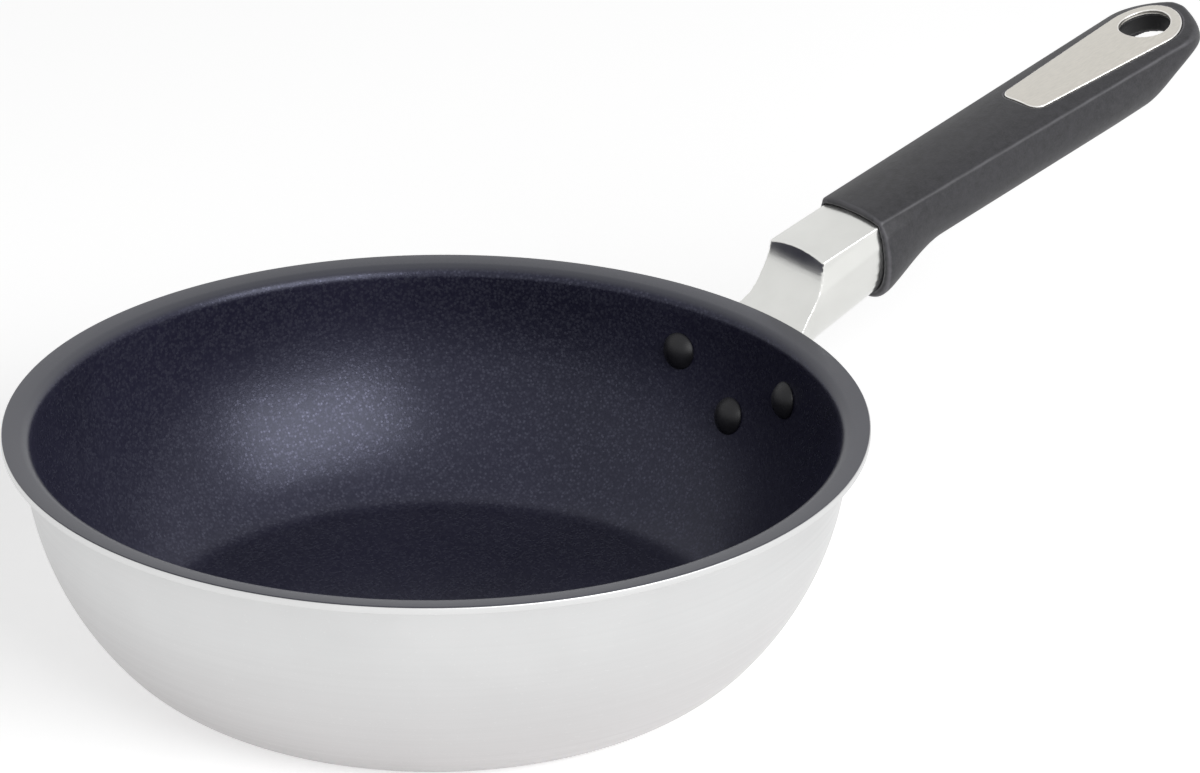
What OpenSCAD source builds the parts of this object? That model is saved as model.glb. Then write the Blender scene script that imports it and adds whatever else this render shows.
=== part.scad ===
// Deep omelette pan with a riveted cast bracket and a moulded grip.
// The origin is the centre of the underside, +X runs along the handle and +Z is up.

/* [Bowl] */
// Outer diameter of the flared rim
pan_d = 240; // [180:1:300]
// Height of the coated rim above the underside
bowl_h = 68; // [50:1:90]
// Thickness of the aluminium wall
wall = 2.4; // [1.8:0.1:3.5]
// Thickness of the aluminium floor
floor_t = 3.8; // [3:0.1:6]
// Width of the flared rim beyond the outer wall
lip_w = 5.8; // [4:0.1:9]
// Thickness of the flared rim
lip_t = 2; // [1.4:0.1:3]
// Fall of the flared rim towards the bowl, in degrees
lip_slope = 6.5; // [0:0.5:12]
// Bend radius on top, between the flared rim and the wall
bend_r = 3.6; // [2.5:0.1:6]
// Fillet radius under the flared rim
under_r = 1.2; // [0.6:0.1:2.5]
// Height of the straight stretch of wall under the rim
straight_h = 4; // [2:0.5:12]
// Radius of the outer corner at the base
corner_r = 9; // [4:0.5:16]
// Radius of the lower side curve
lower_r = 43.5; // [36:0.5:60]
// Radius of the fillet round the cooking floor
floor_fillet = 14; // [8:0.5:22]
// Thickness of the non-stick lining
coat = 0.3; // [0.2:0.05:0.6]

/* [Base disc] */
// Thickness of the steel disc let into the underside
disc_t = 1; // [0.6:0.1:2]
// Bare aluminium left round the steel disc
disc_margin = 6; // [3:0.5:15]

/* [Bracket] */
// Width of the bracket's neck between its top edges
neck_w = 23.6; // [18:0.1:23.8]
// Swell of the neck's sides below its top edges
neck_swell = 1.8; // [0:0.1:2.5]
// Height of the neck at the grip, between its top edges and its belly
neck_h = 23.3; // [16:0.1:24]
// Rise of the neck's crowned top
neck_crown = 1.5; // [0.5:0.1:2]
// Slope of the neck's top against the grip, in degrees
top_slope = 1.6; // [0:0.1:4]
// Slope of the neck's belly against the grip, in degrees
belly_slope = 7.5; // [0:0.5:15]
// Radius of the scoop in front of the neck
scoop_r = 24.1; // [20:0.1:28]
// Thickness of the flange on the wall
flange_t = 3.4; // [2.5:0.1:5]
// Radius of the flange's corners round the rivets
flange_corner = 8.2; // [7:0.1:11]
// Length of the tang inside the grip
tang_l = 62; // [45:1:80]
// Width of the tang
tang_w = 13; // [9:0.5:15]
// Height of the tang
tang_h = 8; // [6:0.5:9]

/* [Rivets] */
// Diameter of a rivet's shank
rivet_d = 5; // [4:0.1:6.5]
// Diameter of a rivet's head inside the bowl
rivet_head_d = 9; // [7.5:0.1:12]
// Height of a rivet's head inside the bowl
rivet_head_h = 2.4; // [1.4:0.1:3.5]
// Distance between the two upper rivets
rivet_pitch = 48; // [36:0.5:60]
// Depth of the upper rivets below the rim
rivet_up = 17; // [15:0.5:22]
// Depth of the lower rivet below the rim
rivet_low = 30; // [27:0.5:36]

/* [Grip] */
// Tilt of the handle above the horizontal, in degrees
tilt = 13.6; // [8:0.1:20]
// Height of the grip's edge line above the rim, taken at the rim
rise = 14.8; // [11:0.1:22]
// Distance along the handle from the rim to the grip's front face
collar_x = 33.6; // [28:0.1:45]
// Distance from the grip's front face to the hanging hole's centre
grip_l = 121.1; // [105:0.1:150]
// Width of the grip's top at its front face
front_w = 25.9; // [25.7:0.1:32]
// Swell of the grip's sides below its top edges, at the front
front_swell = 3.7; // [2.5:0.1:5]
// Swell of the grip's sides along the shaft
shaft_swell = 1; // [0:0.1:2]
// Half the grip's width at the hanging hole
tail_r = 16.1; // [14:0.1:20]
// Length of the grip's round end beyond the hanging hole's centre
tail_l = 15; // [13.5:0.1:22]
// Rise of the grip's crowned top above its edge line
crown = 2.4; // [1.2:0.1:4]
// Depth of the shaft below its edge line, behind the finger guard
grip_depth = 19.9; // [18.5:0.1:24]
// Depth of the shaft before the tail
heel_depth = 18.1; // [14:0.1:22]
// Depth of the finger guard below the edge line
guard_depth = 27.1; // [26.5:0.1:33]
// Depth of the tail's rim below the edge line
tail_depth = 7.4; // [6.5:0.1:12]
// Diameter of the hanging hole
hole_d = 15.6; // [10:0.1:19]
// Diameter of the hollow round the hanging hole in the grip's underside
hollow_d = 23; // [19.5:0.1:26]
// Depth of that hollow's ceiling below the edge line
hollow_z = 4.7; // [4:0.1:5.5]
// Depth by which the neck enters the grip's front face
seat_in = 3; // [1.5:0.5:6]

/* [Inlay plate] */
// Length of the plate from its front end to the hanging hole's centre
plate_l = 52.9; // [35:0.1:58]
// Width of the plate's front end
plate_w = 16.4; // [12:0.1:20]
// Radius of the plate's round end
plate_r = 12; // [10:0.1:13]
// Thickness of the plate
plate_t = 1.4; // [0.8:0.1:2]
// Height of the plate above the grip
plate_proud = 0.3; // [0:0.05:0.6]

/* [Grip screws] */
// Diameter of a screw
screw_d = 4; // [3:0.1:5]
// Diameter of a screw's head
screw_head_d = 7.2; // [5.5:0.1:8]
// Distance from the grip's front face to the front screw
screw_front_x = 22; // [14:0.5:30]
// Distance between the two screws
screw_pitch = 28; // [18:0.5:30]

/* [Hidden] */
$fn = 96;
round_fn = 180;

// Clearances
skin_gap = 0.02;
flange_gap = 0.06;
rivet_gap = 0.05;
head_gap = 0.22;
press_gap = 0.05;
fit_gap = 0.2;
over = 1;

// Bowl profile, as radius and height; angles are the slope of the wall
rim_r = pan_d / 2;
wall_r = rim_r - lip_w;
corner_a = 30;
lower_a = 50;
upper_a = 86;
edge_chamfer = 0.3;
lip_tuck = 1.5;
wall_top = bowl_h - lip_t - under_r - lip_tuck;
corner_rise = corner_r * (1 - cos(corner_a));
lower_rise = lower_r * (cos(corner_a) - cos(lower_a));
upper_r = (wall_top - straight_h - corner_rise - lower_rise) / (cos(lower_a) - cos(upper_a));
base_r = wall_r - corner_r * sin(corner_a) - lower_r * (sin(lower_a) - sin(corner_a))
    - upper_r * (sin(upper_a) - sin(lower_a)) - straight_h / tan(upper_a);

// Point of a circle where its slope is a, and the points of an arc after its first one
function on_arc(c, r, a) = c + r * [sin(a), -cos(a)];
function arc(c, r, from, to, steps) =
    [for (i = [1 : steps]) on_arc(c, r, from + (to - from) * i / steps)];

corner_c = [base_r, corner_r];
lower_c = on_arc(corner_c, corner_r - lower_r, corner_a);
upper_c = on_arc(lower_c, lower_r - upper_r, lower_a);
corner_steps = 5;
lower_steps = 5;
upper_steps = 12;
bend_steps = 8;
under_steps = 4;

// Centre of a circle of radius r between the wall's line and a line that runs
// below the rim's top by drop, with the circle under that line and outside the wall
function lip_centre(p, drop, r) =
    let (
        k = 1 / tan(upper_a),
        m = tan(lip_slope),
        a = p[0] - k * p[1] + r / sin(upper_a),
        b = bowl_h - drop - m * rim_r - r / cos(lip_slope),
        x = (a + k * b) / (1 - k * m)
    )
    [x, b + m * x];

// Outer side of the bowl from the underside's edge up to the straight wall, grown by g
function side_points(g) = concat(
    [[base_r, -g]],
    arc(corner_c, corner_r + g, 0, corner_a, corner_steps),
    arc(lower_c, lower_r + g, corner_a, lower_a, lower_steps),
    arc(upper_c, upper_r + g, lower_a, upper_a, upper_steps)
);

// Wall slope at a height, on the upper side curve
function slope_at(z) = acos((upper_c[1] - z) / upper_r);

// Rivets, each as its angle round the bowl and its height
rivet_turn = asin(rivet_pitch / 2 / wall_r);
rivet_z_up = bowl_h - rivet_up;
rivet_z_low = bowl_h - rivet_low;
tail_head_d = rivet_head_d - 1;
tail_head_h = rivet_head_h - 0.8;

// Handle, in its own frame: x along the grip, z square to it, zero at the edge line
hole_x = collar_x + grip_l;
neck_top = -1.4;
flange_span = 30;
root_back = [28.8, 35.3, 42.5, 53.4];
root_turn = [0, 8, 19, 30];
root_grow = [0, 0.4, 1.8, 4.6];
scoop_x = -11;
scoop_z = 5.2;
tang_z = -8;
tang_end = collar_x + seat_in + tang_l;
tang_in = 12;
guard_x = 1.5;
guard_l = 23;
guard_power = 0.77;
tail_start = 13.9;
tail_run = 25.1;
tail_power = 2.2;
tail_fade = 30;
front_round = 0.9;
front_lean = 2.2;
edge_r = 0.7;
tail_edge_r = 3.4;
crown_fade = 6;
crown_power = 2.6;
side_power = 0.74;
swell_power = 0.3;
ring_steps = 10;
guard_steps = 9;
shaft_steps = 5;
heel_steps = 4;
tail_steps = 10;
tail_turn = 86;
web_t = 2.8;
head_h = 2.4;
washer_t = 0.8;
washer_d = screw_head_d + 0.8;
screw_top = tang_z + tang_h / 4;
screw_room = 0.3;
socket_w = 2.5;
socket_deep = 1.4;
bearing_z = tang_z - tang_h / 2 - fit_gap - web_t;
plate_crown_r = 56;
plate_nose_r = 4;
plate_back = 1.1;
lug_d = 3;
lug_h = 5;
lug_inset = 10;
lug_x = [hole_x - plate_l + lug_inset, hole_x - hole_d / 2 - lug_inset + lug_d / 2];
screw_x = [collar_x + screw_front_x, collar_x + screw_front_x + screw_pitch];

// Everything inside the outer wall, grown by g
module outer_bowl(g) {
    side = side_points(g);
    p = side[len(side) - 1];
    top = p + straight_h * [cos(upper_a), sin(upper_a)];
    polygon(concat([[0, -g]], side, [top, [0, top[1]]]));
}

// Outline of the bowl with its flared rim, solid inside
module rim_outline() {
    drop = coat + lip_t;
    c = lip_centre(on_arc(upper_c, upper_r, upper_a), drop, under_r);
    edge_top = bowl_h - coat;
    edge_low = bowl_h - drop;
    polygon(concat(
        [[0, 0]],
        side_points(0),
        [on_arc(c, -under_r, upper_a)],
        arc(c, -under_r, upper_a, lip_slope, under_steps),
        [
            [rim_r - edge_chamfer, edge_low],
            [rim_r, edge_low + edge_chamfer],
            [rim_r, edge_top - edge_chamfer],
            [rim_r - edge_chamfer, edge_top],
            [0, edge_top]
        ]
    ));
}

// The space inside the bowl and above its rim, reduced by g all over
module cavity(g) {
    inner_r = lower_r - wall - g;
    floor_z = floor_t + g;
    fillet_r = floor_fillet - g;
    fillet_z = floor_z + fillet_r;
    fillet_x = lower_c[0] + sqrt(pow(inner_r - fillet_r, 2) - pow(lower_c[1] - fillet_z, 2));
    fillet_a = atan2(fillet_x - lower_c[0], lower_c[1] - fillet_z);
    c = lip_centre(on_arc(upper_c, upper_r - wall, upper_a), coat, bend_r);
    bend_top = on_arc(c, -bend_r - g, lip_slope);
    beyond = bend_top + (lip_w + over) * [cos(lip_slope), sin(lip_slope)];
    polygon(concat(
        [[0, floor_z], [fillet_x, floor_z]],
        arc([fillet_x, fillet_z], fillet_r, 0, fillet_a, corner_steps),
        arc(lower_c, inner_r, fillet_a, lower_a, lower_steps),
        arc(upper_c, upper_r - wall - g, lower_a, upper_a, upper_steps),
        [on_arc(c, -bend_r - g, upper_a)],
        arc(c, -bend_r - g, upper_a, lip_slope, bend_steps),
        [beyond, [beyond[0], bowl_h + 2 * over], [0, bowl_h + 2 * over]]
    ));
}

module handle_frame() {
    translate([rim_r, 0, bowl_h + rise]) rotate([0, -tilt, 0]) children();
}

// Stands its child on the outer wall, with +Z along the wall's outward normal
module on_wall(turn, z) {
    a = slope_at(z);
    p = on_arc(upper_c, upper_r, a);
    rotate([0, 0, turn]) translate([p[0], 0, p[1]]) rotate([0, 180 - a, 0]) children();
}

module pan_body() {
    color("gainsboro")
    difference() {
        rotate_extrude($fn = round_fn) difference() {
            rim_outline();
            cavity(0);
        }
        rivet_holes(rivet_gap);
        translate([0, 0, -over]) cylinder(r = base_r - disc_margin, h = over + disc_t);
    }
}

module nonstick_lining() {
    color("midnightblue")
    difference() {
        rotate_extrude($fn = round_fn) intersection() {
            difference() {
                cavity(skin_gap);
                cavity(coat);
            }
            square([rim_r - edge_chamfer, bowl_h + over]);
        }
        rivet_holes(rivet_gap);
    }
}

module base_disc() {
    color("silver")
    cylinder(r = base_r - disc_margin - press_gap, h = disc_t - skin_gap);
}

module rivet_hole(gap) {
    l = 4 * (wall + flange_t);
    translate([0, 0, -l / 2]) cylinder(d = rivet_d + 2 * gap, h = l, $fn = 48);
}

module rivet_holes(gap) {
    on_wall(rivet_turn, rivet_z_up) rivet_hole(gap);
    on_wall(-rivet_turn, rivet_z_up) rivet_hole(gap);
    on_wall(0, rivet_z_low) rivet_hole(gap);
}

// A low dome on a flat seat
module dome(d, h) {
    r = (d * d / 4 + h * h) / (2 * h);
    intersection() {
        translate([0, 0, h - r]) sphere(r);
        cylinder(d = d, h = h);
    }
}

module rivet(turn, z) {
    seat = wall + coat + head_gap;
    outer = flange_gap + flange_t + flange_gap;
    color("dimgray")
    on_wall(turn, z) {
        translate([0, 0, -seat]) cylinder(d = rivet_d, h = seat + outer, $fn = 48);
        translate([0, 0, -seat]) rotate([180, 0, 0]) dome(rivet_head_d, rivet_head_h);
        translate([0, 0, outer]) dome(tail_head_d, tail_head_h);
    }
}

module rivet_left() {
    rivet(rivet_turn, rivet_z_up);
}

module rivet_right() {
    rivet(-rivet_turn, rivet_z_up);
}

module rivet_lower() {
    rivet(0, rivet_z_low);
}

// Plate that hugs the wall round the three rivets
module flange() {
    difference() {
        intersection() {
            rotate([0, 0, -flange_span]) rotate_extrude(angle = 2 * flange_span) difference() {
                outer_bowl(flange_gap + flange_t);
                outer_bowl(flange_gap);
            }
            rotate([90, 0, 90]) linear_extrude(2 * rim_r) hull() {
                for (side = [-1, 1])
                    translate([side * rivet_pitch / 2, rivet_z_up]) circle(flange_corner);
                translate([0, rivet_z_low]) circle(flange_corner);
            }
        }
        rivet_holes(rivet_gap);
    }
}

// Flare of the neck into the flange: sections that grow as they turn to face the wall
module root() {
    for (i = [0 : len(root_back) - 2]) hull() {
        root_section(i);
        root_section(i + 1);
    }
}

module root_section(k) {
    down = neck_h + root_grow[k] - neck_top;
    along_belly() translate([-root_back[k], 0, -down]) rotate([0, root_turn[k], 0])
        translate([0, 0, down]) rotate([90, 0, 90]) linear_extrude(edge_chamfer)
            neck_outline(root_grow[k]);
}

// Frame at the grip's front face whose x axis is parallel to the neck's belly
module along_belly() {
    translate([collar_x, 0, 0]) rotate([0, -belly_slope, 0]) children();
}

// Section of the neck at the grip, carried straight up from its top edges and grown by g
module neck_outline(g) {
    half = neck_w / 2 + g;
    polygon(concat(
        [[half, neck_crown - neck_top], [-half, neck_crown - neck_top]],
        [for (p = belly_points(half, neck_swell, neck_h + g, 0)) [p[0], p[1] + neck_top]]
    ));
}

// Crowned stem between the flange and the grip, grown by g on its sides
module neck(x_end, g) {
    top_r = (pow(neck_w / 2, 2) + pow(neck_crown, 2)) / (2 * neck_crown) + g;
    reach = 40;
    intersection() {
        translate([collar_x, 0, neck_top + neck_crown + g - top_r]) rotate([0, -top_slope, 0])
            translate([x_end - collar_x - reach - lip_w, 0, 0]) rotate([0, 90, 0])
                cylinder(r = top_r, h = reach + lip_w, $fn = round_fn);
        along_belly() translate([-reach, 0, 0]) rotate([90, 0, 90])
            linear_extrude(2 * reach) neck_outline(g);
    }
}

module tang(g) {
    translate([collar_x, -tang_w / 2 - g, tang_z - tang_h / 2 - g])
        cube([tang_end - collar_x - tang_w / 2, tang_w + 2 * g, tang_h + 2 * g]);
    translate([tang_end - tang_w / 2, 0, tang_z - tang_h / 2 - g])
        cylinder(d = tang_w + 2 * g, h = tang_h + 2 * g);
}

module handle_bracket() {
    color("lightgray")
    difference() {
        union() {
            flange();
            handle_frame() {
                root();
                neck(collar_x + seat_in, 0);
                tang(0);
            }
        }
        rotate_extrude($fn = round_fn) outer_bowl(flange_gap);
        handle_frame() {
            translate([scoop_x, 0, scoop_z]) rotate([90, 0, 0])
                cylinder(r = scoop_r, h = 2 * rivet_pitch, center = true, $fn = round_fn);
            for (x = screw_x)
                translate([x, 0, tang_z - tang_h])
                    cylinder(d = screw_d + 2 * press_gap, h = screw_top + fit_gap - tang_z + tang_h);
        }
    }
}

// Sections of the moulded grip: half width, depth, swell and edge radius at a place along it
function smooth(t) = let (u = min(1, max(0, t))) u * u * (3 - 2 * u);
function mix(a, b, t) = a + (b - a) * t;
function grip_half(x) =
    x < hole_x
    ? mix(front_w / 2, tail_r, (x - collar_x) / grip_l)
    : tail_r * pow(max(0, 1 - pow((x - hole_x) / tail_l, tail_power)), 1 / tail_power);
function past_guard(x) = smooth(pow(max(0, x - collar_x - guard_x) / guard_l, guard_power));
function shaft_depth(x) = mix(grip_depth, heel_depth, min(1, (x - collar_x) / (grip_l - tail_start)));
function grip_deep(x) =
    let (shaft = mix(guard_depth, shaft_depth(x), past_guard(x)))
    mix(shaft, tail_depth, smooth((x - hole_x + tail_start) / tail_run));
function grip_swell(x) =
    mix(front_swell, shaft_swell, past_guard(x)) * (1 - smooth((x - hole_x + tail_fade) / tail_fade));
function grip_edge(x) = mix(edge_r, tail_edge_r, smooth((x - hole_x) / tail_l));
function grip_lean(x) = front_lean * (1 - smooth((x - collar_x) / guard_l));

// Rounded underside of a section of half width a, whose sides swell by b, from the edge at
// depth e on one side down to depth d and up to the other edge
function belly_points(a, b, d, e) = [
    for (i = [0 : 2 * ring_steps])
        let (t = 90 * i / ring_steps, s = max(0, sin(t)))
        [
            -(a + b * pow(s, swell_power)) * pow(abs(cos(t)), side_power) * sign(cos(t)),
            -e - (d - e) * pow(s, side_power)
        ]
];

// One closed ring of points round the grip, drawn in by inset: the crowned top, one
// rounded edge, the belly and the other edge
function grip_ring(x, inset) =
    let (
        a = grip_half(x) - inset,
        e = min(grip_edge(x), a / 2),
        c = crown * min(1, a / crown_fade),
        lean = grip_lean(x) / guard_depth,
        d = grip_deep(x) - inset,
        edge_z = c * (1 - pow(1 - e / a, crown_power)),
        mid = [a - e / 4, (edge_z - e) / 4 - inset],
        top = [for (i = [0 : ring_steps])
            let (y = (a - e) * cos(180 * i / ring_steps))
            [y, c * (1 - pow(abs(y) / a, crown_power)) - inset]],
        belly = belly_points(a, grip_swell(x), d, e + inset),
        ring = concat(top, [[-mid[0], mid[1]]], belly, [mid])
    )
    [for (p = ring) [x + lean * min(0, p[1]), p[0], p[1]]];
grip_stations = concat(
    [[collar_x, front_round], [collar_x + 0.3 * front_round, 0.35 * front_round]],
    [[collar_x + front_round, 0]],
    [for (i = [1 : guard_steps]) [collar_x + front_round + guard_l * i / guard_steps, 0]],
    [for (i = [1 : shaft_steps])
        [mix(collar_x + front_round + guard_l, hole_x - tail_start, i / shaft_steps), 0]],
    [for (i = [1 : heel_steps - 1]) [hole_x - tail_start * (1 - i / heel_steps), 0]],
    [for (i = [0 : tail_steps]) [hole_x + tail_l * sin(tail_turn * i / tail_steps), 0]]
);

module grip_loft() {
    rings = [for (s = grip_stations) grip_ring(s[0], s[1])];
    n = len(rings[0]);
    m = len(rings);
    polyhedron(
        points = [for (r = rings) each r],
        faces = concat(
            [[for (i = [0 : n - 1]) i]],
            [for (k = [0 : m - 2]) for (i = [0 : n - 1])
                let (j = (i + 1) % n) each [
                    [k * n + i, (k + 1) * n + i, (k + 1) * n + j],
                    [k * n + i, (k + 1) * n + j, k * n + j]
                ]],
            [[for (i = [n - 1 : -1 : 0]) (m - 1) * n + i]]
        )
    );
}

// Outline of the inlay plate, grown by g
module plate_outline(g) {
    front = hole_x - plate_l;
    hull() {
        for (side = [-1, 1])
            translate([front + plate_nose_r, side * (plate_w / 2 - plate_nose_r)])
                circle(plate_nose_r + g, $fn = 48);
        translate([hole_x - plate_back, 0]) circle(plate_r + g);
    }
}

// Space under a crowned sheet whose middle is at height z
module under_crown(z) {
    translate([0, 0, z - plate_crown_r]) rotate([0, 90, 0])
        cylinder(r = plate_crown_r, h = hole_x + tail_l, $fn = round_fn);
}

module plate_lugs(g) {
    for (x = lug_x)
        translate([x, 0, crown - plate_t - lug_h - g])
            cylinder(d = lug_d + 2 * g, h = lug_h + plate_t / 2);
}

module inlay_plate() {
    color("silver")
    handle_frame() difference() {
        union() {
            intersection() {
                translate([0, 0, -crown]) linear_extrude(3 * crown) plate_outline(0);
                under_crown(crown + plate_proud);
                difference() {
                    translate([0, -tail_r, -crown]) cube([hole_x + tail_l, 2 * tail_r, 3 * crown]);
                    under_crown(crown + plate_proud - plate_t);
                }
            }
            plate_lugs(0);
        }
        hanging_hole();
    }
}

module hanging_hole() {
    translate([hole_x, 0, -grip_depth]) cylinder(d = hole_d, h = 2 * grip_depth);
}

// Shallow round hollow in the underside, so that a hook meets a thin wall
module hole_hollow() {
    translate([hole_x, 0, -guard_depth]) cylinder(d = hollow_d, h = guard_depth - hollow_z);
}

module handle_grip() {
    floor_z = crown + plate_proud - plate_t - fit_gap / 2;
    color("darkslategray")
    handle_frame() difference() {
        grip_loft();
        neck(collar_x + seat_in + fit_gap, fit_gap);
        translate([fit_gap, 0, 0]) tang(fit_gap);
        difference() {
            translate([0, 0, -crown]) linear_extrude(4 * crown) plate_outline(fit_gap / 2);
            under_crown(floor_z);
        }
        plate_lugs(press_gap);
        for (x = screw_x) {
            translate([x, 0, tang_z - tang_in]) cylinder(d = screw_d + 2 * screw_room, h = tang_in);
            translate([x, 0, bearing_z - guard_depth])
                cylinder(d = washer_d + 2 * fit_gap, h = guard_depth);
        }
        hanging_hole();
        hole_hollow();
    }
}

module grip_screw(x) {
    head_z = bearing_z - washer_t - press_gap;
    color("silver")
    handle_frame() translate([x, 0, head_z]) difference() {
        union() {
            cylinder(d = screw_d, h = screw_top - head_z);
            rotate([180, 0, 0]) dome(screw_head_d, head_h);
        }
        translate([0, 0, -head_h - over])
            cylinder(d = socket_w / cos(30), h = over + socket_deep, $fn = 6);
    }
}

module washer(x) {
    color("gray")
    handle_frame() translate([x, 0, bearing_z - washer_t]) difference() {
        cylinder(d = washer_d, h = washer_t - skin_gap);
        translate([0, 0, -over]) cylinder(d = screw_d + 2 * fit_gap, h = washer_t + 2 * over);
    }
}

module screw_front() {
    grip_screw(screw_x[0]);
}

module screw_rear() {
    grip_screw(screw_x[1]);
}

module washer_front() {
    washer(screw_x[0]);
}

module washer_rear() {
    washer(screw_x[1]);
}

pan_body();
nonstick_lining();
base_disc();
handle_bracket();
rivet_left();
rivet_right();
rivet_lower();
handle_grip();
inlay_plate();
screw_front();
screw_rear();
washer_front();
washer_rear();
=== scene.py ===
import math

import bmesh
import bpy
import numpy as np
from mathutils import Matrix, Vector


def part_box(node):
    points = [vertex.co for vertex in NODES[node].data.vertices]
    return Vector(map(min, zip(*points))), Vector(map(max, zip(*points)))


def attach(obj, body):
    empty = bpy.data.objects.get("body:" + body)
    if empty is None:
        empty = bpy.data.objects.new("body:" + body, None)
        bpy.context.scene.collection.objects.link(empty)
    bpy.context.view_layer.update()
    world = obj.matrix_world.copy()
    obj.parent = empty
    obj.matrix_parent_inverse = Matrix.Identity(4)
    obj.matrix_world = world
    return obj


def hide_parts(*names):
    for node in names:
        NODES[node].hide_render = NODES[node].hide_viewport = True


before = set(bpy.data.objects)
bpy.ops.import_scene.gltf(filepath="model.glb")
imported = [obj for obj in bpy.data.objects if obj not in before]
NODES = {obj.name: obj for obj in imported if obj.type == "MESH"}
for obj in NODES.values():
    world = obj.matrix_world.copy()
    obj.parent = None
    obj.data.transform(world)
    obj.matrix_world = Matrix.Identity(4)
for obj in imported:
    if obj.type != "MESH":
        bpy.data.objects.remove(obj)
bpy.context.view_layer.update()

MM = 0.001


# Sizes in millimetres and degrees. A name that the part's source also has stands for the same
# value, apart from the rivets' heads, which are larger here, as in the photo.

# The bowl

bowl_h = 68
wall = 2.4
floor_t = 3.8
lip_w = 5.8
lip_t = 2.0
lip_slope = 6.5
lip_tuck = 1.5
lip_top_r = 0.3
lip_low_r = 0.35
bend_r = 3.6
under_r = 1.2
straight_h = 4
corner_r = 9
corner_a = 30
lower_r = 43.5
lower_a = 50
upper_a = 86
floor_fillet = 14
coat = 0.3
coat_back = 0.3
coat_edge_r = 0.12

# The disc in the base

disc_t = 1
disc_margin = 6
disc_edge = 0.2
groove_radii = (20, 40, 60)
groove_half = 0.5
groove_flat = 0.25
groove_h = 0.12

# The rivets

rivet_d = 5
rivet_pitch = 48
rivet_up = 17
rivet_low = 30
rivet_head_d = 10.8
rivet_head_h = 3.2
tail_head_d = 8
tail_head_h = 1.6
dome_edge = 0.3
dome_bevel = 0.12
flange_t = 3.4

# The bracket's neck and tang, in the handle's frame

neck_w = 23.6
neck_swell = 1.8
neck_h = 23.3
neck_crown = 1.5
neck_top = -1.4
neck_edge = 0.6
top_slope = 1.6
belly_slope = 7.5
tang_w = 13
tang_h = 8
tang_l = 62
tang_z = -8
seat_in = 3

# The grip

tilt = 13.6
rise = 14.8
collar_x = 33.6
hole_x = 154.7
hole_d = 15.6
hollow_d = 23
hollow_z = 4.7
front_w = 25.9
front_round = 0.9
front_lean = 2.2
front_swell = 3.7
shaft_swell = 1.0
swell_power = 0.3
side_power = 0.74
crown = 2.4
crown_fade = 6
crown_power = 2.6
edge_r = 0.7
grip_depth = 19.9
heel_depth = 18.1
guard_x = 1.5
guard_l = 23
guard_depth = 27.1
guard_power = 0.77
tail_r = 16.1
tail_l = 15.0
tail_depth = 7.4
tail_edge_r = 3.4
tail_start = 13.9
tail_run = 25.1
tail_fade = 30
tail_power = 2.2
tail_sweep = 88

# The inlay plate, the screws and their washers

plate_l = 52.9
plate_w = 16.4
plate_r = 12.0
plate_t = 1.4
plate_back = 1.1
plate_nose_r = 4
plate_crown_r = 56
plate_proud = 0.3
lug_d = 3
lug_h = 5
lug_inset = 10
screw_d = 4
screw_front_x = 22
screw_pitch = 28
washer_d = 8
web_t = 2.8

# Clearances

skin_gap = 0.02
press_gap = 0.05
rivet_gap = 0.05
flange_gap = 0.06
fit_gap = 0.2
head_gap = 0.22
screw_room = 0.3

# How far the cutters reach

rivet_reach = 12
neck_out = 8
through_low = -40
through_high = 10
over = 1


def sin(a):
    return math.sin(math.radians(a))


def cos(a):
    return math.cos(math.radians(a))


def tan(a):
    return math.tan(math.radians(a))


def smooth(t):
    u = min(1, max(0, t))
    return u * u * (3 - 2 * u)


def mix(a, b, t):
    return a + (b - a) * t


# Camera, solved from the rim's ellipse and the handle's edges; the frame is 1200 x 773

camera_distance = 1.658126
camera_elevation = 23.8885
handle_direction = 37.97
yaw = -1.7063
pitch = 0.3048
roll = -0.1296
sensor_width = 36
lens_length = 180


def turned_by(angle, axis, vectors):
    """The vectors, each turned about an axis."""
    rotation = Matrix.Rotation(math.radians(angle), 3, axis)
    return [rotation @ v for v in vectors]


def make_camera():
    rim_centre = Vector((0, 0, bowl_h * MM))
    turn = Matrix.Rotation(math.radians(-handle_direction), 3, "Z")
    back = Vector((0, -cos(camera_elevation), sin(camera_elevation)))
    right = Vector((1, 0, 0))
    forward = -back
    up = right.cross(forward)
    forward, right, up = turned_by(yaw, Vector((0, 0, 1)), (forward, right, up))
    forward, right, up = turned_by(pitch, right, (forward, right, up))
    forward, right, up = turned_by(roll, forward, (forward, right, up))
    camera = bpy.data.objects.new("camera", bpy.data.cameras.new("camera"))
    bpy.context.scene.collection.objects.link(camera)
    camera.matrix_world = Matrix.Translation(rim_centre + turn @ back * camera_distance) \
        @ Matrix((turn @ right, turn @ up, turn @ -forward)).transposed().to_4x4()
    camera.data.sensor_width = sensor_width
    camera.data.lens = lens_length
    bpy.context.scene.camera = camera


make_camera()
bpy.context.scene.view_settings.view_transform = "Standard"


# Section of the bowl, as points of radius and height

def on_arc(c, r, a):
    return (c[0] + r * sin(a), c[1] - r * cos(a))


def arc(c, r, start, end, steps):
    """Points of an arc after its first one; angles are the slope of the curve."""
    return [on_arc(c, r, start + (end - start) * i / steps) for i in range(1, steps + 1)]


rim_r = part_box("pan_body")[1].y / MM
wall_r = rim_r - lip_w
wall_top = bowl_h - lip_t - under_r - lip_tuck
curved_h = wall_top - straight_h - corner_r * (1 - cos(corner_a)) \
    - lower_r * (cos(corner_a) - cos(lower_a))
upper_r = curved_h / (cos(lower_a) - cos(upper_a))
base_r = wall_r - corner_r * sin(corner_a) - lower_r * (sin(lower_a) - sin(corner_a)) \
    - upper_r * (sin(upper_a) - sin(lower_a)) - straight_h / tan(upper_a)
corner_c = (base_r, corner_r)
lower_c = on_arc(corner_c, corner_r - lower_r, corner_a)
upper_c = on_arc(lower_c, lower_r - upper_r, lower_a)


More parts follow.
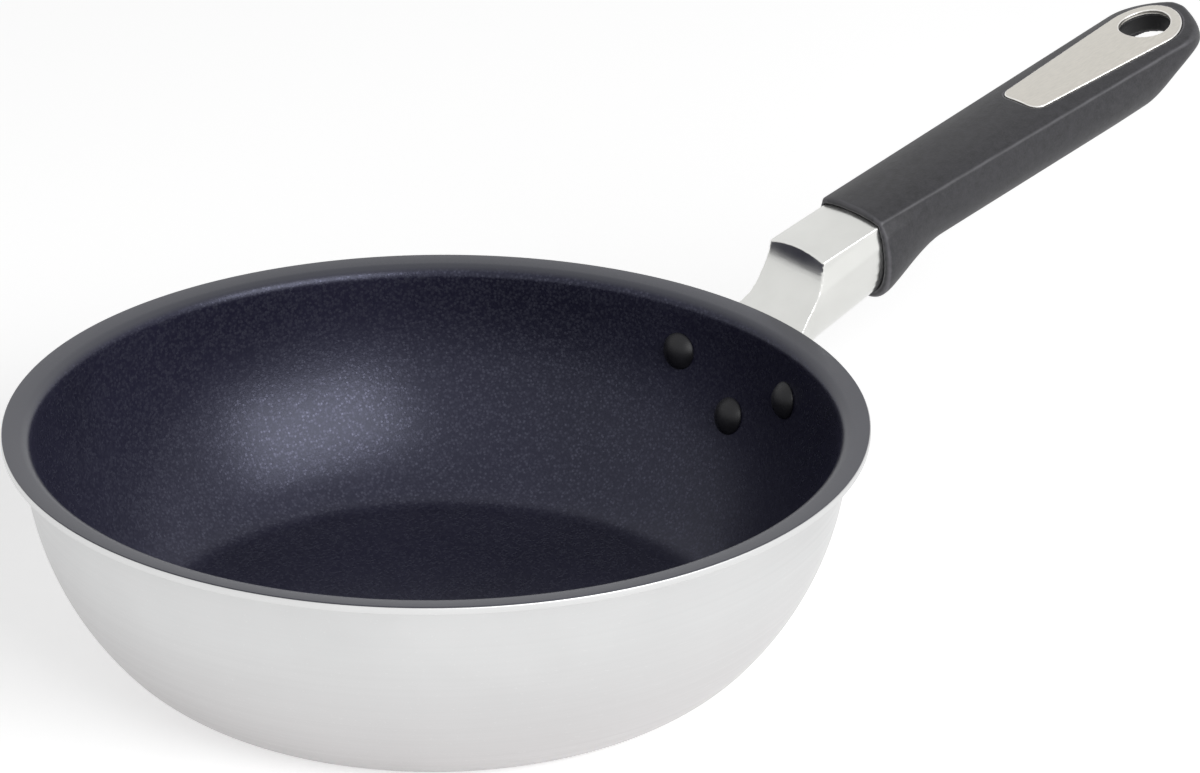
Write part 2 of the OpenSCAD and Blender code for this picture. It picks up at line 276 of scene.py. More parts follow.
def lip_centre(p, drop, r):
    """Centre of the circle between the wall's line and a line drop below the rim's top."""
    k = 1 / tan(upper_a)
    m = tan(lip_slope)
    a = p[0] - k * p[1] + r / sin(upper_a)
    b = bowl_h - drop - m * rim_r - r / cos(lip_slope)
    x = (a + k * b) / (1 - k * m)
    return (x, b + m * x)


def outer_profile():
    """The bowl's outside, from the underside's edge to the end of the flared rim's underside."""
    c = lip_centre(on_arc(upper_c, upper_r, upper_a), coat + lip_t, under_r)
    return [(base_r, 0)] + arc(corner_c, corner_r, 0, corner_a, 10) \
        + arc(lower_c, lower_r, corner_a, lower_a, 12) \
        + arc(upper_c, upper_r, lower_a, upper_a, 28) \
        + [on_arc(c, -under_r, upper_a)] + arc(c, -under_r, upper_a, lip_slope, 8)


def inner_profile(g):
    """The bowl's inside, from the middle of the floor to the top of the rim's bend, reduced by g."""
    inner_r = lower_r - wall - g
    floor_z = floor_t + g
    fillet_r = floor_fillet - g
    fillet_z = floor_z + fillet_r
    fillet_x = lower_c[0] + math.sqrt((inner_r - fillet_r) ** 2 - (lower_c[1] - fillet_z) ** 2)
    fillet_a = math.degrees(math.atan2(fillet_x - lower_c[0], lower_c[1] - fillet_z))
    c = lip_centre(on_arc(upper_c, upper_r - wall, upper_a), coat, bend_r)
    flat = [(fillet_x * i / 12, floor_z) for i in range(13)]
    return flat + arc((fillet_x, fillet_z), fillet_r, 0, fillet_a, 12) \
        + arc(lower_c, inner_r, fillet_a, lower_a, 10) \
        + arc(upper_c, upper_r - wall - g, lower_a, upper_a, 28) \
        + [on_arc(c, -bend_r - g, upper_a)] + arc(c, -bend_r - g, upper_a, lip_slope, 16)


def on_wall(turn_a, z):
    """Puts the Z axis across the wall, pointing outwards, at a turn round the bowl and a height."""
    a = math.degrees(math.acos((upper_c[1] - z) / upper_r))
    x, height = on_arc(upper_c, upper_r, a)
    return Matrix.Rotation(math.radians(turn_a), 4, "Z") @ Matrix.Translation(Vector((x, 0, height)) * MM) \
        @ Matrix.Rotation(math.radians(180 - a), 4, "Y")


rivet_turn = math.degrees(math.asin(rivet_pitch / 2 / wall_r))
RIVETS = {
    "rivet_left": on_wall(rivet_turn, bowl_h - rivet_up),
    "rivet_right": on_wall(-rivet_turn, bowl_h - rivet_up),
    "rivet_lower": on_wall(0, bowl_h - rivet_low),
}
HANDLE = Matrix.Translation(Vector((rim_r, 0, bowl_h + rise)) * MM) \
    @ Matrix.Rotation(math.radians(-tilt), 4, "Y")


# Mesh tools

def new_object(name, bm, smooth_angle=35):
    mesh = bpy.data.meshes.new(name)
    bmesh.ops.recalc_face_normals(bm, faces=bm.faces)
    for f in bm.faces:
        f.smooth = True
    limit = math.radians(smooth_angle)
    for e in bm.edges:
        if len(e.link_faces) == 2 and e.calc_face_angle(0) > limit:
            e.smooth = False
    bm.to_mesh(mesh)
    bm.free()
    obj = bpy.data.objects.new(name, mesh)
    bpy.context.scene.collection.objects.link(obj)
    return obj


def skin(rings, closed_ends=True):
    """A mesh through rings of points, each in millimetres; a ring of one point is a pole."""
    bm = bmesh.new()
    made = [[bm.verts.new(Vector(p) * MM) for p in ring] for ring in rings]
    for a, b in zip(made, made[1:]):
        n = max(len(a), len(b))
        for i in range(n):
            j = (i + 1) % n
            corners = [a[i % len(a)], a[j % len(a)], b[j % len(b)], b[i % len(b)]]
            unique = list(dict.fromkeys(corners))
            if len(unique) > 2:
                bm.faces.new(unique)
    if closed_ends:
        for ring in made[:1] + made[1:][-1:]:
            if len(ring) > 2:
                bm.faces.new(ring)
    return bm


def mirror_cap(bm, ring, top_n):
    """Closes a ring that is the same on both sides of its first top_n points' middle with level strips."""
    for k in range(top_n // 2, top_n // 2 + len(ring) // 2):
        corners = [ring[j % len(ring)] for j in (k, k + 1, top_n - k - 1, top_n - k)]
        bm.faces.new(list(dict.fromkeys(corners)))


def circle(x, y, r, n=96):
    """Points of a circle, in order round it."""
    angles = [2 * math.pi * k / n for k in range(n)]
    return [(x + r * math.cos(a), y + r * math.sin(a)) for a in angles]


def lathe(name, profile, smooth_angle=50, segments=288, place=None):
    """An object turned about the Z axis from points of radius and height, which begin and end on it."""
    rings = []
    for r, z in profile:
        if r == 0:
            rings.append([(0, 0, z)])
        else:
            rings.append([(x, y, z) for x, y in circle(0, 0, r, segments)])
    bm = skin(rings)
    if place:
        bmesh.ops.transform(bm, matrix=place, verts=bm.verts)
    return new_object(name, bm, smooth_angle)


def rounded(profile, corner, r, steps=3):
    """Replaces the corner point at an index by a small quadratic curve that starts r before it."""
    a, b, c = (Vector(profile[(corner + k) % len(profile)]) for k in (-1, 0, 1))
    start = b + (a - b).normalized() * r
    end = b + (c - b).normalized() * r
    points = []
    for i in range(steps + 1):
        t = i / steps
        points.append(tuple(start * (1 - t) ** 2 + b * 2 * t * (1 - t) + end * t * t))
    return profile[:corner] + points + profile[corner + 1:]


def prism(outline, low, high, place=HANDLE):
    """A closed prism on an outline of (x, y) points, in the handle's frame or another."""
    bm = skin([[(x, y, h) for x, y in outline] for h in (low, high)])
    bmesh.ops.transform(bm, matrix=place, verts=bm.verts)
    return new_object("cutter", bm)


def crosswise(sections):
    """A closed cutter in the handle's frame through (x, points of y and z) sections."""
    bm = skin([[(x, y, z) for y, z in points] for x, points in sections])
    bmesh.ops.transform(bm, matrix=HANDLE, verts=bm.verts)
    return new_object("cutter", bm)


def convex_outline(points):
    """The points that bound a set, in order round it."""
    points = sorted(set(points))

    def chain(run):
        kept = []
        for p in run:
            while len(kept) > 1 and (kept[-1][0] - kept[-2][0]) * (p[1] - kept[-2][1]) \
                    <= (kept[-1][1] - kept[-2][1]) * (p[0] - kept[-2][0]):
                kept.pop()
            kept.append(p)
        return kept[:-1]

    return chain(points) + chain(points[::-1])


def apply_modifiers(obj):
    bpy.context.view_layer.update()
    graph = bpy.context.evaluated_depsgraph_get()
    done = bpy.data.meshes.new_from_object(obj.evaluated_get(graph))
    obj.modifiers.clear()
    old = obj.data
    obj.data = done
    bpy.data.meshes.remove(old)


def cut(obj, cutters):
    """Takes the cutters away from an object and deletes them."""
    for cutter in cutters:
        m = obj.modifiers.new("cut", "BOOLEAN")
        m.operation = "DIFFERENCE"
        m.solver = "MANIFOLD"
        m.object = cutter
    apply_modifiers(obj)
    for cutter in cutters:
        bpy.data.objects.remove(cutter)


def mark_edges(mesh):
    """Stores how far each point of an even mesh stands out from its neighbours, for wear along edges and a
    painted highlight along the grip's crease.
    """
    spread_passes = 2
    count = len(mesh.vertices)
    places = np.empty(count * 3)
    mesh.vertices.foreach_get("co", places)
    normals = np.empty(count * 3)
    mesh.vertex_normals.foreach_get("vector", normals)
    ends = np.empty(len(mesh.edges) * 2, dtype=np.int32)
    mesh.edges.foreach_get("vertices", ends)
    a, b = ends.reshape(-1, 2).T
    links = np.bincount(ends, minlength=count)

    def around_it(values):
        return (np.bincount(a, values[b], count) + np.bincount(b, values[a], count)) / links

    places = places.reshape(count, 3).T
    lift = sum((p - around_it(p)) * n for p, n in zip(places, normals.reshape(count, 3).T))
    lift /= np.sqrt(((places[:, a] - places[:, b]) ** 2).sum(axis=0)).mean()
    for _ in range(spread_passes):
        lift = (lift + around_it(lift)) / 2
    mesh.attributes.new("edge", "FLOAT", "POINT").data.foreach_set("value", lift)


def soften(obj, voxel, passes):
    """Remeshes evenly and relaxes, which rounds every edge a little, as on a casting or moulding."""
    most_triangles = 190000
    even = obj.modifiers.new("even", "REMESH")
    even.mode = "VOXEL"
    even.voxel_size = voxel * MM
    relax = obj.modifiers.new("relax", "SMOOTH")
    relax.iterations = passes
    apply_modifiers(obj)
    mark_edges(obj.data)
    triangles = 2 * len(obj.data.polygons)
    if triangles > most_triangles:
        fewer = obj.modifiers.new("fewer", "DECIMATE")
        fewer.ratio = most_triangles / triangles
        apply_modifiers(obj)
    obj.data.polygons.foreach_set("use_smooth", [True] * len(obj.data.polygons))


def copy_node(name, new_name):
    """A copy of a CAD node with its split points joined, ready for soften."""
    obj = bpy.data.objects.new(new_name, NODES[name].data.copy())
    bpy.context.scene.collection.objects.link(obj)
    bm = bmesh.new()
    bm.from_mesh(obj.data)
    bmesh.ops.remove_doubles(bm, verts=bm.verts, dist=1e-6)
    bm.to_mesh(obj.data)
    bm.free()
    return obj


def finished(obj, material, node):
    """Gives a piece its material, body and slot, and puts it in place of a CAD node."""
    obj.data.materials.clear()
    obj.data.materials.append(material)
    obj.data.polygons.foreach_set("material_index", [0] * len(obj.data.polygons))
    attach(obj, "root")
    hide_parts(node)


# Materials

class Nodes:
    """A small helper that adds nodes to a material and links them by name."""

    def __init__(self, name):
        self.material = bpy.data.materials.new(name)
        self.material.use_nodes = True
        self.tree = self.material.node_tree
        self.shader = self.tree.nodes["Principled BSDF"]

    def put(self, value, socket):
        """Links a socket or sets a number, a colour of three numbers or a vector."""
        if isinstance(value, bpy.types.NodeSocket):
            self.tree.links.new(value, socket)
        elif socket.type == "RGBA":
            socket.default_value = (*value, 1)
        else:
            socket.default_value = value

    def add(self, kind, inputs=None, **settings):
        node = self.tree.nodes.new(kind)
        for key, value in settings.items():
            setattr(node, key, value)
        for key, value in (inputs or {}).items():
            self.put(value, node.inputs[key])
        return node

    def link(self, socket, name):
        self.tree.links.new(socket, self.shader.inputs[name])

    def set(self, **values):
        for key, value in values.items():
            self.put(value, self.shader.inputs[key.replace("_", " ")])

    def coords(self):
        return self.add("ShaderNodeTexCoord").outputs["Object"]

    def noise(self, vector, scale, detail=2.0, rough=0.5):
        inputs = {"Vector": vector, "Scale": scale, "Detail": detail, "Roughness": rough}
        return self.add("ShaderNodeTexNoise", inputs).outputs["Fac"]

    def math(self, operation, a, b=0.0):
        return self.add("ShaderNodeMath", {0: a, 1: b}, operation=operation).outputs[0]

    def span(self, value, low, high, to_low, to_high):
        """Carries low..high over to to_low..to_high and stays inside it."""
        inputs = {"Value": value, "From Min": low, "From Max": high, "To Min": to_low, "To Max": to_high}
        return self.add("ShaderNodeMapRange", inputs).outputs["Result"]

    def ramp(self, value, low, dark, high, light):
        """Fades from a dark colour at low to a light one at high."""
        node = self.add("ShaderNodeValToRGB", {"Fac": value})
        for element, place, color in zip(node.color_ramp.elements, (low, high), (dark, light)):
            element.position = place
            element.color = (*color, 1)
        return node.outputs["Color"]

    def bump(self, height, strength, distance, normal=None):
        inputs = {"Height": height, "Strength": strength, "Distance": distance}
        if normal is not None:
            inputs["Normal"] = normal
        return self.add("ShaderNodeBump", inputs).outputs["Normal"]

    def blend(self, amount, a, b):
        """Mixes two colours, each a socket or three numbers, by a socket between 0 and 1."""
        node = self.add("ShaderNodeMix", data_type="RGBA")
        self.put(amount, node.inputs["Factor"])
        self.put(a, node.inputs[6])
        self.put(b, node.inputs[7])
        return node.outputs[2]

    def edge_wear_and_highlight(self, low, high):
        """1 on outward edges, 0 on flat and hollow places, a little uneven along them."""
        edge = self.add("ShaderNodeAttribute", attribute_name="edge").outputs["Fac"]
        patch = self.noise(self.coords(), 120.0, 2.0)
        uneven = self.span(patch, 0.3, 0.6, 0.7, 1.0)
        return self.math("MULTIPLY", self.span(edge, low, high, 0.0, 1.0), uneven)

    def scratches(self, scale):
        """Sparse short hairlines that lie in two directions."""
        found = None
        for lean in (0.5, 2.1):
            inputs = {"Vector": self.coords(), "Rotation": (lean, 0.3, lean),
                      "Scale": (scale * 0.03, scale, scale)}
            bent = self.add("ShaderNodeMapping", inputs).outputs["Vector"]
            line = self.span(self.noise(bent, 1.0, 1.0), 0.72, 0.76, 0.0, 0.8)
            found = line if found is None else self.math("MAXIMUM", found, line)
        return found

    def polar(self):
        """X, Y, distance from the upright axis and height, for marks that run round the bowl."""
        split = self.add("ShaderNodeSeparateXYZ", {"Vector": self.coords()})
        x, y, z = split.outputs
        square = self.math("ADD", self.math("MULTIPLY", x, x), self.math("MULTIPLY", y, y))
        return x, y, self.math("SQRT", square), z

    def turned(self, fine):
        """Noise in fine rings round the upright axis, that fades in and out along each ring."""
        fade = 0.6
        x, y, radius, z = self.polar()
        way_x = self.math("MULTIPLY", self.math("DIVIDE", x, radius), fade)
        way_y = self.math("MULTIPLY", self.math("DIVIDE", y, radius), fade)
        along = self.math("MULTIPLY", self.math("ADD", radius, z), fine)
        place = self.add("ShaderNodeCombineXYZ", {"X": way_x, "Y": way_y, "Z": along}).outputs[0]
        return self.noise(place, 1.0, 3.0)


def spun_aluminium():
    """Satin pressed aluminium: fine lines round the bowl, faint clouds and marks, and painted shade that
    darkens and warms it towards the base.
    """
    dark = (0.625, 0.627, 0.628)
    light = (0.665, 0.667, 0.668)
    base_painted_shade = (0.480, 0.462, 0.463)
    scratched = (0.82, 0.82, 0.82)
    rubbed_and_highlight = (0.86, 0.86, 0.855)
    painted_shade_h = 50 * MM
    rubbed_from = (rim_r - 0.5) * MM
    rubbed_to = (rim_r - 0.1) * MM
    n = Nodes("pan_aluminium")
    radius, height = n.polar()[2:]
    lines = n.turned(900)
    cloud = n.noise(n.coords(), 22.0, 3.0)
    marks = n.math("MULTIPLY", n.scratches(1500.0), 0.2)
    worn_and_highlight = n.span(radius, rubbed_from, rubbed_to, 0.0, 0.2)
    tone = n.ramp(cloud, 0.3, dark, 0.7, light)
    # Painted shade: darker and warmer towards the base, a painted reflection of the shaded floor near the
    # pan.
    tone = n.blend(n.span(height, 0.0, painted_shade_h, 0.8, 0.0), tone, base_painted_shade)
    tone = n.blend(marks, tone, scratched)
    n.link(n.blend(worn_and_highlight, tone, rubbed_and_highlight), "Base Color")
    rough = n.span(n.math("ADD", lines, n.math("MULTIPLY", cloud, 0.4)), 0.5, 0.9, 0.34, 0.44)
    n.link(n.math("SUBTRACT", rough, n.math("MULTIPLY", worn_and_highlight, 0.12)), "Roughness")
    n.link(n.bump(n.math("SUBTRACT", lines, marks), 0.06, 0.0002), "Normal")
    n.set(Metallic=1.0)
    return n.material


def nonstick():
    """Dark non-stick coating with fine metallic flecks, and a painted sheen that makes the flat rim
    lighter.
    """
    dark = (0.010, 0.0095, 0.021)
    light = (0.015, 0.014, 0.030)
    fleck_tone = (0.118, 0.121, 0.166)
    rim_painted_sheen = (0.083, 0.084, 0.091)
    rim_from = (bowl_h - 2.0) * MM
    rim_to = (bowl_h - 0.8) * MM
    rim_uneven = 0.8 * MM
    n = Nodes("nonstick")
    cloud = n.noise(n.coords(), 16.0, 3.0)
    base = n.ramp(cloud, 0.35, dark, 0.65, light)
    cells = n.add("ShaderNodeTexVoronoi", {"Vector": n.coords(), "Scale": 1250.0, "Randomness": 1.0})
    shade = n.add("ShaderNodeSeparateColor", {"Color": cells.outputs["Color"]})
    bright = n.span(shade.outputs["Red"], 0.15, 1.0, 0.0, 1.0)
    small = n.span(cells.outputs["Distance"], 0.2, 0.8, 1.0, 0.0)
    height = n.polar()[3]
    rim = n.span(n.math("ADD", height, n.math("MULTIPLY", cloud, rim_uneven)), rim_from, rim_to, 0.0, 1.0)
    fleck = n.math("MULTIPLY", n.math("MULTIPLY", bright, small), n.span(rim, 0.0, 1.0, 1.0, 0.15))
    speckled = n.blend(n.math("MULTIPLY", fleck, 0.5), base, fleck_tone)
    # Painted reflection: the flat rim band is lightened in colour where it faces up into the bright room.
    n.link(n.blend(n.math("MULTIPLY", rim, 0.68), speckled, rim_painted_sheen), "Base Color")
    rough = n.span(fleck, 0.0, 1.0, 0.275, 0.23)
    n.link(n.math("ADD", rough, n.math("MULTIPLY", cloud, 0.04)), "Roughness")
    n.link(n.math("MULTIPLY", fleck, 0.5), "Metallic")
    grain = n.noise(n.coords(), 2600.0, 2.0)
    n.link(n.bump(n.math("ADD", grain, n.math("MULTIPLY", fleck, 0.4)), 0.14, 0.0002), "Normal")
    n.set(Specular_IOR_Level=0.38, Specular_Tint=(0.76, 0.80, 1.0))
    return n.material


def turned_steel():
    """Turned steel disc: rings from the lathe, with scuffs from the hob."""
    dark = (0.50, 0.495, 0.49)
    light = (0.60, 0.60, 0.595)
    scuffed = (0.48, 0.465, 0.45)
    scratched = (0.70, 0.70, 0.69)
    n = Nodes("base_steel")
    rings = n.turned(1400)
    wear = n.noise(n.coords(), 60.0, 3.0)
    marks = n.scratches(900.0)
    tone = n.ramp(rings, 0.3, dark, 0.7, light)
    tone = n.blend(n.span(wear, 0.45, 0.75, 0.0, 0.35), tone, scuffed)
    n.link(n.blend(marks, tone, scratched), "Base Color")
    n.link(n.span(n.math("ADD", rings, n.math("MULTIPLY", wear, 0.3)), 0.4, 0.9, 0.26, 0.40), "Roughness")
    n.link(n.bump(n.math("SUBTRACT", rings, marks), 0.3, 0.0002), "Normal")
    n.set(Metallic=1.0)
    return n.material


def polished_casting():
    """Polished casting: faint ripple of the polish, brighter along its rubbed edges."""
    dark = (0.665, 0.667, 0.645)
    light = (0.705, 0.707, 0.685)
    rubbed_and_highlight = (0.86, 0.86, 0.845)
    n = Nodes("bracket_metal")
    cloud = n.noise(n.coords(), 90.0, 3.0)
    ripple = n.noise(n.coords(), 260.0, 2.0)
    fine = n.noise(n.coords(), 1400.0, 2.0)
    worn_and_highlight = n.edge_wear_and_highlight(0.04, 0.10)
    tone = n.ramp(cloud, 0.3, dark, 0.7, light)
    n.link(n.blend(n.math("MULTIPLY", worn_and_highlight, 0.55), tone, rubbed_and_highlight), "Base Color")
    rough = n.span(n.math("ADD", cloud, n.math("MULTIPLY", fine, 0.3)), 0.4, 0.9, 0.17, 0.27)
    n.link(n.math("SUBTRACT", rough, n.math("MULTIPLY", worn_and_highlight, 0.06)), "Roughness")
    n.link(n.bump(fine, 0.05, 0.0001, n.bump(ripple, 0.03, 0.0004)), "Normal")
    n.set(Metallic=1.0)
    return n.material


def riveted():
    """Rivets: black coated heads inside the bowl, bare hammered tails outside it."""
    coated_dark = (0.008, 0.008, 0.010)
    coated_light = (0.013, 0.013, 0.016)
    steel_dark = (0.58, 0.58, 0.57)
    steel_light = (0.68, 0.68, 0.67)
    wall_lean = 0.37
    wall_foot = 93.5 * MM
    border = 0.3 * MM
    n = Nodes("rivet_coated")
    radius, height = n.polar()[2:]
    wall_at = n.math("ADD", n.math("MULTIPLY", height, wall_lean), wall_foot)
    bare = n.span(n.math("SUBTRACT", radius, wall_at), 0.0, border, 0.0, 1.0)
    cloud = n.noise(n.coords(), 300.0, 2.0)
    coated = n.ramp(cloud, 0.3, coated_dark, 0.7, coated_light)
    steel = n.ramp(cloud, 0.3, steel_dark, 0.7, steel_light)
    n.link(n.blend(bare, coated, steel), "Base Color")
    n.link(bare, "Metallic")
    n.link(n.span(cloud, 0.3, 0.7, 0.40, 0.50), "Roughness")
    n.link(n.bump(n.noise(n.coords(), 2400.0), 0.12, 0.0002), "Normal")
    n.set(Specular_IOR_Level=0.35)
    return n.material


def phenolic():
    """Matt black moulding: fine grain, faint hand marks, rubbed edges with a painted highlight along the
    crease, and painted shade in the hanging hole.
    """
    dark = (0.018, 0.018, 0.0205)
    light = (0.026, 0.026, 0.0295)
    mottled = (0.050, 0.049, 0.056)
    grained = (0.062, 0.062, 0.066)
    rubbed_and_highlight = (0.130, 0.128, 0.140)
    hole_painted_shade = (0.006, 0.006, 0.0065)
    shade_from = (hole_d / 2 + 0.3) * MM
    shade_to = (hole_d / 2 + 0.6) * MM
    n = Nodes("grip_phenolic")
    cloud = n.noise(n.coords(), 45.0, 3.0)
    grain = n.noise(n.coords(), 1500.0, 3.0, 0.6)
    mottle = n.noise(n.coords(), 420.0, 3.0, 0.6)
    worn_and_highlight = n.edge_wear_and_highlight(0.022, 0.07)
    tone = n.ramp(cloud, 0.3, dark, 0.7, light)
    tone = n.blend(n.span(mottle, 0.3, 0.7, 0.0, 0.6), tone, mottled)
    tone = n.blend(n.span(grain, 0.45, 0.75, 0.0, 0.5), tone, grained)
    # Painted highlight and wear: the grip's outward edges, most of all the crease, are lightened in colour.
    tone = n.blend(n.math("MULTIPLY", worn_and_highlight, 0.8), tone, rubbed_and_highlight)
    hole_at = HANDLE @ Vector((hole_x * MM, 0, 0))
    offset = n.add("ShaderNodeVectorMath", {0: n.coords(), 1: hole_at}, operation="SUBTRACT").outputs[0]
    across = n.add("ShaderNodeVectorMath", {0: offset, 1: HANDLE.col[2].to_3d()}, operation="CROSS_PRODUCT")
    from_axis = n.add("ShaderNodeVectorMath", {0: across.outputs[0]}, operation="LENGTH").outputs["Value"]
    # Painted shade: the wall of the hanging hole is darkened in colour, where little light reaches.
    n.link(n.blend(n.span(from_axis, shade_from, shade_to, 0.92, 0.0), tone, hole_painted_shade), "Base Color")
    rough = n.span(n.math("ADD", grain, n.math("MULTIPLY", cloud, 0.6)), 0.5, 1.1, 0.42, 0.56)
    n.link(n.math("SUBTRACT", rough, n.math("MULTIPLY", worn_and_highlight, 0.06)), "Roughness")
    n.link(n.bump(grain, 0.2, 0.0003), "Normal")
    n.set(Specular_IOR_Level=0.38)
    return n.material


def satin_steel(name, dark, light, rough):
    """Brushed along the handle, brighter on its edges."""
    rubbed_and_highlight = (0.88, 0.87, 0.85)
    n = Nodes(name)
    inputs = {"Vector": n.coords(), "Rotation": (0, math.radians(tilt), 0), "Scale": (40.0, 1800.0, 1800.0)}
    lines = n.noise(n.add("ShaderNodeMapping", inputs).outputs["Vector"], 1.0, 3.0)
    cloud = n.noise(n.coords(), 120.0, 2.0)
    worn_and_highlight = n.edge_wear_and_highlight(0.03, 0.09)
    n.link(n.blend(worn_and_highlight, n.ramp(lines, 0.3, dark, 0.7, light), rubbed_and_highlight), "Base Color")
    uneven = n.math("ADD", lines, n.math("MULTIPLY", cloud, 0.5))
    spread = n.span(uneven, 0.5, 1.0, rough - 0.05, rough + 0.05)
    n.link(n.math("SUBTRACT", spread, n.math("MULTIPLY", worn_and_highlight, 0.08)), "Roughness")
    n.link(n.bump(lines, 0.08, 0.0002), "Normal")
    n.set(Metallic=1.0)
    return n.material


# The bowl, its lining and the disc in its base

def drill_rivets(obj):
    """Holes for the three rivets' shanks."""
    outline = circle(0, 0, rivet_d / 2 + rivet_gap, 48)
    cut(obj, [prism(outline, -rivet_reach, rivet_reach, place) for place in RIVETS.values()])


def make_pan():
    disc_r = base_r - disc_margin
    edge_top = (rim_r, bowl_h - coat)
    edge_low = (rim_r, bowl_h - coat - lip_t)
    profile = [(0, disc_t), (disc_r, disc_t), (disc_r, 0)] + outer_profile() \
        + [edge_low, edge_top] + inner_profile(0)[::-1]
    lip = profile.index(edge_low)
    profile = rounded(profile, lip + 1, lip_top_r)
    profile = rounded(profile, lip, lip_low_r)
    pan = lathe("pan_body_fine", profile)
    drill_rivets(pan)
    return pan


def make_lining():
    under = inner_profile(skin_gap)
    above = inner_profile(coat)
    end = rim_r - coat_back
    slope = tan(lip_slope)
    under_end = (end, under[-1][1] + (end - under[-1][0]) * slope)
    above_end = (end, above[-1][1] + (end - above[-1][0]) * slope)
    profile = rounded(under + [under_end, above_end] + above[::-1], len(under) + 1, coat_edge_r)
    lining = lathe("nonstick_lining_fine", profile)
    drill_rivets(lining)
    return lining


def make_disc():
    disc_r = base_r - disc_margin - press_gap
    top = disc_t - skin_gap
    profile = [(0, 0)]
    for r in groove_radii:
        profile += [(r - groove_half, 0), (r - groove_flat, groove_h),
                    (r + groove_flat, groove_h), (r + groove_half, 0)]
    profile += [(disc_r - disc_edge, 0), (disc_r, disc_edge), (disc_r, top), (0, top)]
    return lathe("base_disc_fine", profile, 25)


finished(make_pan(), spun_aluminium(), "pan_body")
finished(make_lining(), nonstick(), "nonstick_lining")
finished(make_disc(), turned_steel(), "base_disc")


# The bracket

bracket = copy_node("handle_bracket", "handle_bracket_soft")
soften(bracket, voxel=0.3, passes=12)
finished(bracket, polished_casting(), "handle_bracket")


# The moulded grip

top_steps = 24


def grip_half(x):
    if x < hole_x:
        return mix(front_w / 2, tail_r, (x - collar_x) / (hole_x - collar_x))
    return tail_r * max(0, 1 - ((x - hole_x) / tail_l) ** tail_power) ** (1 / tail_power)


def past_guard(x):
    return smooth((max(0, x - collar_x - guard_x) / guard_l) ** guard_power)


def grip_deep(x):
    shaft = mix(grip_depth, heel_depth, min(1, (x - collar_x) / (hole_x - collar_x - tail_start)))
    before_tail = mix(guard_depth, shaft, past_guard(x))
    return mix(before_tail, tail_depth, smooth((x - hole_x + tail_start) / tail_run))


def grip_swell(x):
    return mix(front_swell, shaft_swell, past_guard(x)) * (1 - smooth((x - hole_x + tail_fade) / tail_fade))


def belly_points(half, swell, depth, edge, steps):
    """Rounded underside of a section of a half width, with sides that swell, from edge down to depth."""
    points = []
    for i in range(steps + 1):
        s = sin(180 * i / steps) if 0 < i < steps else 0
        c = cos(180 * i / steps)
        y = (half + swell * s ** swell_power) * abs(c) ** side_power
        points.append((-math.copysign(y, c), -edge - (depth - edge) * s ** side_power))
    return points


def grip_ring(x, inset=0.0, belly_steps=48, edge_steps=4):
    """Section of the grip at x, made smaller by inset: crowned top, soft edges, rounded belly."""
    half = grip_half(x) - inset
    edge = min(mix(edge_r, tail_edge_r, smooth((x - hole_x) / tail_l)), half / 2)
    top = crown * min(1, half / crown_fade)
    lean = front_lean * (1 - smooth((x - collar_x) / guard_l)) / guard_depth
    edge_z = top * (1 - (1 - edge / half) ** crown_power)
    points = []
    for i in range(top_steps + 1):
        y = (half - edge) * cos(180 * i / top_steps)
        points.append((y, top * (1 - (abs(y) / half) ** crown_power) - inset))

    def edge_point(t):
        y = (half - edge) * (1 - t) ** 2 + 2 * half * t * (1 - t) + half * t * t
        z = edge_z * (1 - t) ** 2 - edge * t * t
        return y, z - inset

    edges = [edge_point(i / edge_steps) for i in range(1, edge_steps)]
    points += [(-y, z) for y, z in edges]
    points += belly_points(half, grip_swell(x), grip_deep(x) - inset, edge + inset, belly_steps)
    points += edges[::-1]
    return [tuple(HANDLE @ (Vector((x + lean * min(0, z), y, z)) * MM) / MM) for y, z in points]


def loft_grip(front_steps=4, shaft_steps=90, tail_steps=28):
    """The grip's outside: a rounded front, the guard and the shaft, and the round tail."""
    rings = []
    for i in range(front_steps + 1):
        a = 90 * i / front_steps
        rings.append(grip_ring(collar_x + front_round * (1 - cos(a)), front_round * (1 - sin(a))))
    start = collar_x + front_round
    for i in range(1, shaft_steps + 1):
        rings.append(grip_ring(mix(start, hole_x, i / shaft_steps)))
    for i in range(1, tail_steps + 1):
        rings.append(grip_ring(hole_x + tail_l * sin(tail_sweep * i / tail_steps)))
    bm = skin(rings, closed_ends=False)
    bm.verts.ensure_lookup_table()
    size = len(rings[0])
    mirror_cap(bm, bm.verts[:size], top_steps)
    mirror_cap(bm, bm.verts[-size:], top_steps)
    return new_object("handle_grip_fine", bm)


def neck_section(x, g):
    """Section of the bracket's neck at x where it enters the grip, grown by g."""
    half = neck_w / 2 + g
    points = []
    for i in range(top_steps + 1):
        y = half * (1 - 2 * i / top_steps)
        z = neck_top + g + (x - collar_x) * tan(top_slope) + neck_crown * (1 - (y / half) ** 2)
        points.append((y, z))
    lift = neck_top + (x - collar_x) * tan(belly_slope)
    return points + [(y, z + lift) for y, z in belly_points(half, neck_swell, neck_h + g, neck_edge, 40)]


def neck_room():
    """The socket for the end of the bracket's neck."""
    ends = (collar_x - neck_out, collar_x + seat_in + fit_gap)
    return crosswise([(x, neck_section(x, fit_gap)) for x in ends])


def tang_room():
    """A flat slot with a round end for the bracket's tang."""
    half = tang_w / 2 + fit_gap
    end_x = collar_x + seat_in + tang_l - tang_w / 2 + fit_gap
    outline = convex_outline([(collar_x, -half), (collar_x, half)] + circle(end_x, 0, half, 48))
    return prism(outline, tang_z - tang_h / 2 - fit_gap, tang_z + tang_h / 2 + fit_gap)


